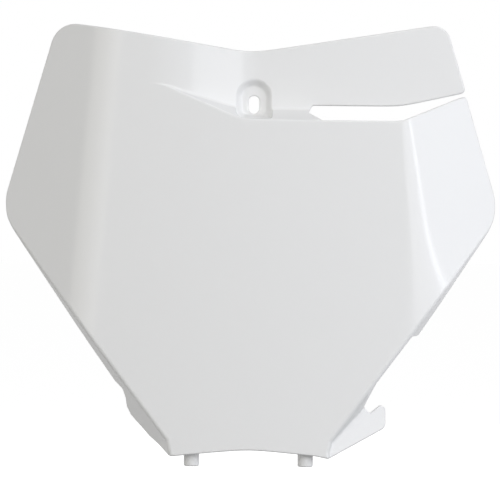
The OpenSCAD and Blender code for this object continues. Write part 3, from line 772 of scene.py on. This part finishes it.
def board_mesh():
    """Front skin, back skin and rounded rims of the whole moulding as one closed mesh.

    Gives vertices, faces, normals and each vertex's share of the rim's dull look.
    """
    outer, hole = outline(), bolt_hole()
    rims = [rim_rings(outer, 1), rim_rings(hole, -1)]
    seams = [rims[0][0][0][:, [0, 2]], rims[1][0][0][:, [0, 2]]]
    inner = surface_samples(seams)
    flat = np.vstack([seams[0], seams[1], inner])
    n0, n1 = len(outer), len(hole)
    edges = [(i, (i + 1) % n0) for i in range(n0)]
    edges += [(n0 + i, n0 + (i + 1) % n1) for i in range(n1)]
    verts, _, tris, orig, _, _ = delaunay_2d_cdt([Vector(p) for p in flat], edges, [], 0, 1e-6)
    pts = np.array([(v.x, v.y) for v in verts])
    tris = np.array(tris, int)
    mid = pts[tris].mean(1)
    tris = tris[inside(mid, seams[0]) & ~inside(mid, seams[1])]
    source = np.full(len(flat), -1, int)
    for i, ids in enumerate(orig):
        for k in ids:
            source[k] = i
    used = np.unique(tris)
    index = np.full(len(pts), -1, int)
    index[used] = np.arange(len(used))
    pts, tris = pts[used], index[tris]
    depth = front_depth(pts[:, 0], pts[:, 1])
    normal = front_normal(pts[:, 0], pts[:, 1])
    front = np.stack([pts[:, 0], depth, pts[:, 1]], 1)
    back = front - WALL * normal
    count = len(front)
    a, b, c = pts[tris[:, 0]], pts[tris[:, 1]], pts[tris[:, 2]]
    ab, ac = b - a, c - a
    area = ab[:, 0] * ac[:, 1] - ac[:, 0] * ab[:, 1]
    tris = np.where((area > 0)[:, None], tris, tris[:, ::-1])
    all_verts = [front, back]
    all_normals = [normal, -normal]
    rim = [np.zeros(2 * count)]
    faces = [tris, tris[:, ::-1] + count]
    total = 2 * count
    bounds = ((rims[0], 0, n0, 1), (rims[1], n0, n1, -1))
    for (rings, normals, shares), offset, size, sign in bounds:
        seam = index[source[offset:offset + size]]
        ids = [seam]
        front[seam] = rings[0]
        back[seam] = rings[-1]
        normal[seam] = normals[0]
        for ring, direction, share in zip(rings[1:-1], normals[1:-1], shares[1:-1]):
            all_verts.append(ring)
            all_normals.append(direction)
            rim.append(np.full(size, share))
            ids.append(np.arange(total, total + size))
            total += size
        ids.append(seam + count)
        loop = rings[0][:, [0, 2]]
        x, z = loop[:, 0], loop[:, 1]
        turn = np.sum(x * np.roll(z, -1) - np.roll(x, -1) * z)
        for r0, r1 in zip(ids[:-1], ids[1:]):
            q = np.stack([r0, np.roll(r0, -1), np.roll(r1, -1), r1], 1)
            q = q[:, ::-1] if (turn > 0) == (sign > 0) else q
            faces.append(np.vstack([q[:, [0, 1, 2]], q[:, [0, 2, 3]]]))
    all_normals[1] = -normal
    vertices = np.vstack(all_verts)
    return to_frame(*vertices.T), np.vstack(faces), np.vstack(all_normals), np.concatenate(rim)


def make_object(name, vertices, faces, normals=None, rim=None):
    """A smooth mesh object, with its own normals and its rim values where they are given."""
    mesh = bpy.data.meshes.new(name)
    mesh.from_pydata([tuple(v) for v in vertices], [], [tuple(int(i) for i in f) for f in faces])
    mesh.update()
    mesh.polygons.foreach_set("use_smooth", [True] * len(mesh.polygons))
    if normals is not None:
        mesh.normals_split_custom_set_from_vertices([tuple(n) for n in normals])
    if rim is not None:
        mesh.attributes.new("rim", "FLOAT", "POINT").data.foreach_set("value", rim.tolist())
    obj = bpy.data.objects.new(name, mesh)
    bpy.context.scene.collection.objects.link(obj)
    return obj


def peg_mesh(side):
    """A locating peg: a plain round pin with a small round on its tip."""
    r, root = PEG_D / 2, PEG_ROOT_D / 2
    profile = [(0.0, 0.0), (r - PEG_TIP_R, 0.0)]
    profile += [(r - PEG_TIP_R + PEG_TIP_R * math.sin(a), PEG_TIP_R - PEG_TIP_R * math.cos(a))
                for a in np.linspace(0.15, math.pi / 2, 6)]
    profile += [(r, PEG_FREE), (root, PEG_FREE), (root, PEG_LEN - PEG_ROOT_R),
                (root - PEG_ROOT_R, PEG_LEN), (0.0, PEG_LEN)]
    verts, faces = [], []
    for pr, pz in profile:
        for k in range(PEG_SIDES):
            a = 2 * math.pi * k / PEG_SIDES
            verts.append((side * PEG_HALF_GAP + pr * math.cos(a), PEG_DEEP + pr * math.sin(a),
                          -PEG_TIP_DROP + pz))
    for i in range(len(profile) - 1):
        for k in range(PEG_SIDES):
            a, b = i * PEG_SIDES + k, i * PEG_SIDES + (k + 1) % PEG_SIDES
            faces.append((a, b, b + PEG_SIDES, a + PEG_SIDES))
    return to_frame(*np.array(verts).T), faces


def web_mesh(side):
    """The web that carries a peg on the panel's back."""
    base = PEG_HALF_GAP ** 2 / (2 * CROWN_R) + WALL / 2
    x0, x1 = side * PEG_HALF_GAP - WEB_T / 2, side * PEG_HALF_GAP + WEB_T / 2
    z0 = -PEG_TIP_DROP + PEG_FREE
    z1 = -PEG_TIP_DROP + PEG_LEN + WEB_T
    v = [(x, y, z) for z in (z0, z1) for y in (base, PEG_DEEP) for x in (x0, x1)]
    f = [(0, 2, 3, 1), (4, 5, 7, 6), (0, 1, 5, 4), (2, 6, 7, 3), (0, 4, 6, 2), (1, 3, 7, 5)]
    return to_frame(*np.array(v).T), f


def white_plastic():
    """Glossy white moulded polypropylene.

    It is a little uneven in gloss, has faint flow waves and orange peel, and is duller on the rim.
    """
    mat = bpy.data.materials.new("white_plastic")
    mat.use_nodes = True
    tree = mat.node_tree
    nodes, links = tree.nodes, tree.links
    bsdf = nodes["Principled BSDF"]
    coords = nodes.new("ShaderNodeTexCoord")

    def noise(scale, detail):
        tex = nodes.new("ShaderNodeTexNoise")
        tex.inputs["Scale"].default_value = scale
        tex.inputs["Detail"].default_value = detail
        links.new(coords.outputs["Object"], tex.inputs["Vector"])
        return tex

    def bump(height, strength, distance):
        node = nodes.new("ShaderNodeBump")
        node.inputs["Strength"].default_value = strength
        node.inputs["Distance"].default_value = distance
        links.new(height.outputs["Fac"], node.inputs["Height"])
        return node

    speck = noise(2600.0, 1.0)
    tint = nodes.new("ShaderNodeMixRGB")
    tint.inputs["Color1"].default_value = WHITE_LOW
    tint.inputs["Color2"].default_value = WHITE_HIGH
    links.new(speck.outputs["Fac"], tint.inputs["Fac"])
    links.new(tint.outputs["Color"], bsdf.inputs["Base Color"])
    gloss = nodes.new("ShaderNodeMapRange")
    gloss.inputs["To Min"].default_value = GLOSS_LOW
    gloss.inputs["To Max"].default_value = GLOSS_HIGH
    links.new(noise(320.0, 3.0).outputs["Fac"], gloss.inputs["Value"])
    rim = nodes.new("ShaderNodeAttribute")
    rim.attribute_name = "rim"

    def on_rim(gain, start, target):
        """Changes one value of the shader from its start by the gain on the rim."""
        node = nodes.new("ShaderNodeMath")
        node.operation = "MULTIPLY_ADD"
        node.inputs[1].default_value = gain
        links.new(rim.outputs["Fac"], node.inputs[0])
        if isinstance(start, float):
            node.inputs[2].default_value = start
        else:
            links.new(start, node.inputs[2])
        links.new(node.outputs[0], bsdf.inputs[target])

    on_rim(RIM_MATT, gloss.outputs["Result"], "Roughness")
    on_rim(-RIM_DULL, 0.5, "Specular IOR Level")
    waves = bump(noise(30.0, 0.0), 0.05, 0.002)
    peel = bump(noise(900.0, 1.0), 0.05, 0.0002)
    links.new(waves.outputs["Normal"], peel.inputs["Normal"])
    links.new(peel.outputs["Normal"], bsdf.inputs["Normal"])
    bsdf.inputs["IOR"].default_value = PLASTIC_IOR
    return mat


def build_board():
    """The moulding, its pegs and their webs, all of white plastic and riding on the root."""
    plastic = white_plastic()
    board = make_object("board_shell", *board_mesh())
    pieces = [board]
    for side, word in ((-1, "left"), (1, "right")):
        pieces.append(make_object(f"peg_{word}", *peg_mesh(side)))
        web = make_object(f"peg_web_{word}", *web_mesh(side))
        web.data.polygons.foreach_set("use_smooth", [False] * len(web.data.polygons))
        pieces.append(web)
    for piece in pieces:
        piece.data.materials.append(plastic)
        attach(piece, "root")
    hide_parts("number_board")


def seen_directly(tree):
    """One for camera, glossy and transmitted rays, nought for the rest."""
    path = tree.nodes.new("ShaderNodeLightPath")
    first = tree.nodes.new("ShaderNodeMath")
    second = tree.nodes.new("ShaderNodeMath")
    first.operation = second.operation = "MAXIMUM"
    tree.links.new(path.outputs["Is Camera Ray"], first.inputs[0])
    tree.links.new(path.outputs["Is Glossy Ray"], first.inputs[1])
    tree.links.new(first.outputs[0], second.inputs[0])
    tree.links.new(path.outputs["Is Transmission Ray"], second.inputs[1])
    return second.outputs[0]


def build_stage():
    """Pale matt floor below the pegs, white in the picture, that takes the board's shadow."""
    mat = bpy.data.materials.new("stage_white")
    mat.use_nodes = True
    tree = mat.node_tree
    nodes, links = tree.nodes, tree.links
    bsdf = nodes["Principled BSDF"]
    bsdf.inputs["Base Color"].default_value = FLOOR_COLOUR
    bsdf.inputs["Roughness"].default_value = 0.95
    bsdf.inputs["Specular IOR Level"].default_value = 0.0
    glow = nodes.new("ShaderNodeEmission")
    level = nodes.new("ShaderNodeMath")
    level.operation = "MULTIPLY"
    level.inputs[1].default_value = FLOOR_GLOW
    links.new(seen_directly(tree), level.inputs[0])
    links.new(level.outputs[0], glow.inputs["Strength"])
    add = nodes.new("ShaderNodeAddShader")
    links.new(bsdf.outputs["BSDF"], add.inputs[0])
    links.new(glow.outputs["Emission"], add.inputs[1])
    links.new(add.outputs["Shader"], nodes["Material Output"].inputs["Surface"])
    corners = ((-1, -1), (1, -1), (1, 1), (-1, 1))
    verts = [(x * FLOOR_HALF, y * FLOOR_HALF, FLOOR_Z) for x, y in corners]
    floor = make_object("floor", verts, [(0, 1, 2, 3)])
    floor.data.materials.append(mat)


def build_world():
    """White where it is seen, and for the rest a soft fill that comes from the front."""
    world = bpy.data.worlds.new("studio")
    bpy.context.scene.world = world
    world.use_nodes = True
    tree = world.node_tree
    nodes, links = tree.nodes, tree.links
    back = nodes["Background"]
    back.inputs["Color"].default_value = (1, 1, 1, 1)
    coords = nodes.new("ShaderNodeTexCoord")
    dot = nodes.new("ShaderNodeVectorMath")
    dot.operation = "DOT_PRODUCT"
    dot.inputs[1].default_value = FILL_SIDE
    links.new(coords.outputs["Generated"], dot.inputs[0])
    fill = nodes.new("ShaderNodeMapRange")
    fill.inputs["From Min"].default_value = -1.0
    fill.inputs["From Max"].default_value = 1.0
    fill.inputs["To Min"].default_value = FILL_BEHIND
    fill.inputs["To Max"].default_value = FILL_AHEAD
    links.new(dot.outputs["Value"], fill.inputs["Value"])
    level = nodes.new("ShaderNodeMath")
    level.operation = "MAXIMUM"
    links.new(seen_directly(tree), level.inputs[0])
    links.new(fill.outputs["Result"], level.inputs[1])
    links.new(level.outputs[0], back.inputs["Strength"])


def softbox(name, azimuth, height, size, radiance, colour):
    """A flat lamp that faces the board's middle from one direction."""
    a, h = math.radians(azimuth), math.radians(height)
    way = Vector((math.sin(a) * math.cos(h), -math.cos(a) * math.cos(h), math.sin(h)))
    data = bpy.data.lights.new(name, "AREA")
    data.shape = "RECTANGLE"
    data.size, data.size_y = size
    data.energy = radiance * math.pi * size[0] * size[1]
    data.color = colour
    lamp = bpy.data.objects.new(name, data)
    bpy.context.scene.collection.objects.link(lamp)
    lamp.location = BOARD_MIDDLE + way * LAMP_DISTANCE
    lamp.rotation_euler = way.to_track_quat("Z", "Y").to_euler()


def build_lights():
    """All the lamps of the studio."""
    for lamp in LAMPS:
        softbox(*lamp)


def build_camera():
    """Straight in front, at the photograph's framing and with its slight roll."""
    data = bpy.data.cameras.new("camera")
    data.sensor_fit = "HORIZONTAL"
    data.sensor_width = SENSOR
    data.lens = SENSOR * CAMERA_DISTANCE / (PIXEL_SIZE * IMAGE_W)
    camera = bpy.data.objects.new("camera", data)
    bpy.context.scene.collection.objects.link(camera)
    camera.location = (-SLOT_OFF * MM, -CAMERA_DISTANCE - SEAT_DEPTH * MM, VIEW_Z)
    turn = Euler((math.pi / 2, 0, 0)).to_matrix() @ Matrix.Rotation(ROLL, 3, "Z")
    camera.rotation_euler = turn.to_euler()
    bpy.context.scene.camera = camera


build_board()
build_stage()
build_world()
build_lights()
build_camera()
bpy.context.scene.view_settings.view_transform = "Standard"
